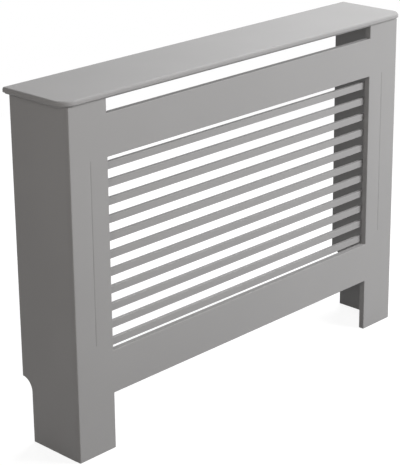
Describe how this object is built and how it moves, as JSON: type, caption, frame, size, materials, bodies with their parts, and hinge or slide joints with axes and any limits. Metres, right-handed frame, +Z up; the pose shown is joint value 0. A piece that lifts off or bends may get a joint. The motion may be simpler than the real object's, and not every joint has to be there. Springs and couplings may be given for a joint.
{
  "type": "radiator cover cabinet",
  "caption": "Slatted radiator cover of painted MDF: moulded shelf, warm-air slot, grooved stiles, legs and notched sides, joined by cam locks, with wall brackets.",
  "frame": {"origin": "middle of the footprint, on the floor: halfway along the shelf and halfway between its front edge and the wall face", "axes": "+X along the width, to the right as seen from the front; +Y back to the wall, so the grille faces -Y; +Z up"},
  "size_m": [1.12, 0.19, 0.815],
  "materials": {
    "painted_mdf": "satin grey paint on MDF",
    "zinc": "die-cast zinc, as cast",
    "steel": "zinc-plated steel",
    "bracket_steel": "zinc-plated sheet steel",
    "beech": "bare fluted beech"
  },
  "bodies": {
    "carcass": {"top_shelf": "painted_mdf", "front_panel": "painted_mdf", "slat_01": "painted_mdf", "slat_02": "painted_mdf", "slat_03": "painted_mdf", "slat_04": "painted_mdf", "slat_05": "painted_mdf", "slat_06": "painted_mdf", "slat_07": "painted_mdf", "slat_08": "painted_mdf", "slat_09": "painted_mdf", "slat_10": "painted_mdf", "slat_11": "painted_mdf", "left_side_panel": "painted_mdf", "right_side_panel": "painted_mdf", "left_front_bolt_bottom": "steel", "left_front_bolt_middle": "steel", "left_front_bolt_top": "steel", "left_shelf_bolt_front": "steel", "left_shelf_bolt_rear": "steel", "right_front_bolt_bottom": "steel", "right_front_bolt_middle": "steel", "right_front_bolt_top": "steel", "right_shelf_bolt_front": "steel", "right_shelf_bolt_rear": "steel", "left_front_dowel_lower": "beech", "left_front_dowel_upper": "beech", "left_shelf_dowel_front": "beech", "left_shelf_dowel_rear": "beech", "right_front_dowel_lower": "beech", "right_front_dowel_upper": "beech", "right_shelf_dowel_front": "beech", "right_shelf_dowel_rear": "beech", "left_wall_bracket": "bracket_steel", "right_wall_bracket": "bracket_steel", "left_bracket_screw_rear": "steel", "left_bracket_screw_front": "steel", "right_bracket_screw_rear": "steel", "right_bracket_screw_front": "steel"},
    "left_front_cam_bottom": {"left_front_cam_bottom": "zinc"},
    "left_front_cam_middle": {"left_front_cam_middle": "zinc"},
    "left_front_cam_top": {"left_front_cam_top": "zinc"},
    "left_shelf_cam_front": {"left_shelf_cam_front": "zinc"},
    "left_shelf_cam_rear": {"left_shelf_cam_rear": "zinc"},
    "right_front_cam_bottom": {"right_front_cam_bottom": "zinc"},
    "right_front_cam_middle": {"right_front_cam_middle": "zinc"},
    "right_front_cam_top": {"right_front_cam_top": "zinc"},
    "right_shelf_cam_front": {"right_shelf_cam_front": "zinc"},
    "right_shelf_cam_rear": {"right_shelf_cam_rear": "zinc"}
  },
  "joints": [
    {"name": "left_front_cam_bottom_turn", "type": "hinge", "parent": "carcass", "child": "left_front_cam_bottom", "pos_m": [-0.528, -0.039, 0.1], "axis": [1, 0, 0], "range_deg": [0, 180]},
    {"name": "left_front_cam_middle_turn", "type": "hinge", "parent": "carcass", "child": "left_front_cam_middle", "pos_m": [-0.528, -0.039, 0.4], "axis": [1, 0, 0], "range_deg": [0, 180]},
    {"name": "left_front_cam_top_turn", "type": "hinge", "parent": "carcass", "child": "left_front_cam_top", "pos_m": [-0.528, -0.039, 0.7], "axis": [1, 0, 0], "range_deg": [0, 180]},
    {"name": "left_shelf_cam_front_turn", "type": "hinge", "parent": "carcass", "child": "left_shelf_cam_front", "pos_m": [-0.528, -0.04, 0.766], "axis": [1, 0, 0], "range_deg": [0, 180]},
    {"name": "left_shelf_cam_rear_turn", "type": "hinge", "parent": "carcass", "child": "left_shelf_cam_rear", "pos_m": [-0.528, 0.07, 0.766], "axis": [1, 0, 0], "range_deg": [0, 180]},
    {"name": "right_front_cam_bottom_turn", "type": "hinge", "parent": "carcass", "child": "right_front_cam_bottom", "pos_m": [0.528, -0.039, 0.1], "axis": [-1, 0, 0], "range_deg": [0, 180]},
    {"name": "right_front_cam_middle_turn", "type": "hinge", "parent": "carcass", "child": "right_front_cam_middle", "pos_m": [0.528, -0.039, 0.4], "axis": [-1, 0, 0], "range_deg": [0, 180]},
    {"name": "right_front_cam_top_turn", "type": "hinge", "parent": "carcass", "child": "right_front_cam_top", "pos_m": [0.528, -0.039, 0.7], "axis": [-1, 0, 0], "range_deg": [0, 180]},
    {"name": "right_shelf_cam_front_turn", "type": "hinge", "parent": "carcass", "child": "right_shelf_cam_front", "pos_m": [0.528, -0.04, 0.766], "axis": [-1, 0, 0], "range_deg": [0, 180]},
    {"name": "right_shelf_cam_rear_turn", "type": "hinge", "parent": "carcass", "child": "right_shelf_cam_rear", "pos_m": [0.528, 0.07, 0.766], "axis": [-1, 0, 0], "range_deg": [0, 180]}
  ]
}
